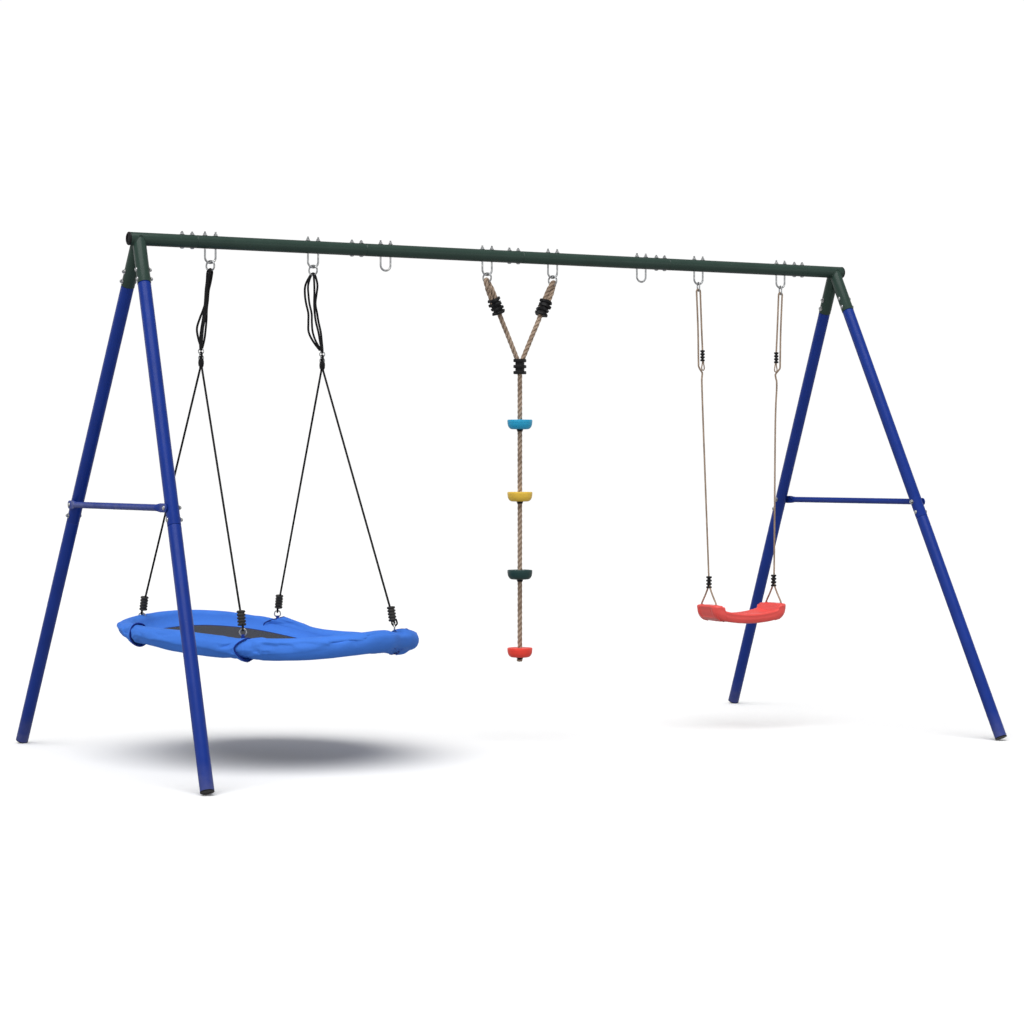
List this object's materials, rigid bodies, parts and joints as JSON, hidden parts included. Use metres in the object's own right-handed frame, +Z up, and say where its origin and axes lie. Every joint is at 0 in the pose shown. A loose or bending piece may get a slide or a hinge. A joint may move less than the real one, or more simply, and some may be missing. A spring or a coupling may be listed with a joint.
{
  "type": "swing set",
  "caption": "Tubular A-frame swing set with a padded nest swing, a climbing rope with foot discs and a moulded seat swing, all free to swing.",
  "frame": {"origin": "on the ground, midway between the four feet", "axes": "+Z up, X along the beam with the nest swing at -X and the seat swing at +X, Y across the beam"},
  "size_m": [3.5794, 1.9656, 2.027],
  "materials": {
    "green_paint": "glossy dark green powder coat",
    "blue_paint": "satin blue powder coat",
    "black_plastic": "matt black moulding",
    "zinc_steel": "bright zinc plate",
    "nest_fabric": "woven blue cover over foam",
    "mat_fabric": "dark woven mat",
    "black_rope": "braided black rope",
    "beige_rope": "twisted beige rope",
    "blue_plastic": "satin moulding",
    "yellow_plastic": "satin moulding",
    "green_plastic": "satin moulding",
    "red_plastic": "satin moulding",
    "coral_plastic": "satin moulding"
  },
  "bodies": {
    "frame": {"beam_tube_1": "green_paint", "beam_tube_2": "green_paint", "beam_tube_3": "green_paint", "beam_tube_4": "green_paint", "end_connector_left": "green_paint", "beam_cap_left": "black_plastic", "crossbar_left": "blue_paint", "end_connector_right": "green_paint", "beam_cap_right": "black_plastic", "crossbar_right": "blue_paint", "upper_leg_left_front": "blue_paint", "lower_leg_left_front": "blue_paint", "foot_cap_left_front": "black_plastic", "upper_leg_left_back": "blue_paint", "lower_leg_left_back": "blue_paint", "foot_cap_left_back": "black_plastic", "upper_leg_right_front": "blue_paint", "lower_leg_right_front": "blue_paint", "foot_cap_right_front": "black_plastic", "upper_leg_right_back": "blue_paint", "lower_leg_right_back": "blue_paint", "foot_cap_right_back": "black_plastic", "hanger_nest_left": "zinc_steel", "hanger_nest_right": "zinc_steel", "hanger_spare_left": "zinc_steel", "hanger_climb_left": "zinc_steel", "hanger_climb_right": "zinc_steel", "hanger_spare_right": "zinc_steel", "hanger_seat_left": "zinc_steel", "hanger_seat_right": "zinc_steel"},
    "nest_hangers": {"nest_ring_left": "zinc_steel", "nest_adjuster_left": "black_rope", "nest_ring_right": "zinc_steel", "nest_adjuster_right": "black_rope"},
    "nest_seat": {"nest_hoop": "zinc_steel", "nest_cover": "nest_fabric", "nest_mat": "mat_fabric", "nest_rope_left": "black_rope", "tie_ring_left_front": "zinc_steel", "tie_ring_left_back": "zinc_steel", "nest_rope_right": "black_rope", "tie_ring_right_front": "zinc_steel", "tie_ring_right_back": "zinc_steel"},
    "climb_upper": {"climb_clamp": "black_plastic", "climb_ring_left": "zinc_steel", "climb_arm_left": "beige_rope", "climb_ring_right": "zinc_steel", "climb_arm_right": "beige_rope"},
    "climb_lower": {"climb_rope": "beige_rope", "climb_disc_blue": "blue_plastic", "climb_disc_yellow": "yellow_plastic", "climb_disc_green": "green_plastic", "climb_disc_red": "red_plastic"},
    "seat_hangers": {"seat_link_left": "zinc_steel", "seat_rope_left": "beige_rope", "seat_link_right": "zinc_steel", "seat_rope_right": "beige_rope"},
    "seat_body": {"seat": "coral_plastic", "seat_bridle_left": "beige_rope", "seat_bridle_right": "beige_rope"}
  },
  "joints": [
    {"name": "nest_swing", "type": "hinge", "parent": "frame", "child": "nest_hangers", "pos_m": [-1.123, 0, 1.907], "axis": [1, 0, 0], "range_deg": [-45, 45]},
    {"name": "nest_tilt", "type": "hinge", "parent": "nest_hangers", "child": "nest_seat", "pos_m": [-1.123, 0, 1.5625], "axis": [1, 0, 0], "range_deg": [-20, 20]},
    {"name": "climb_swing", "type": "hinge", "parent": "frame", "child": "climb_upper", "pos_m": [0.029, 0, 1.907], "axis": [1, 0, 0], "range_deg": [-45, 45]},
    {"name": "climb_sway", "type": "hinge", "parent": "climb_upper", "child": "climb_lower", "pos_m": [0.029, 0, 1.518], "axis": [0, 1, 0], "range_deg": [-20, 20]},
    {"name": "seat_swing", "type": "hinge", "parent": "frame", "child": "seat_hangers", "pos_m": [1.125, 0, 1.907], "axis": [1, 0, 0], "range_deg": [-50, 50]},
    {"name": "seat_tilt", "type": "hinge", "parent": "seat_hangers", "child": "seat_body", "pos_m": [1.1365, 0, 0.6325], "axis": [1, 0, 0], "range_deg": [-25, 25]}
  ]
}
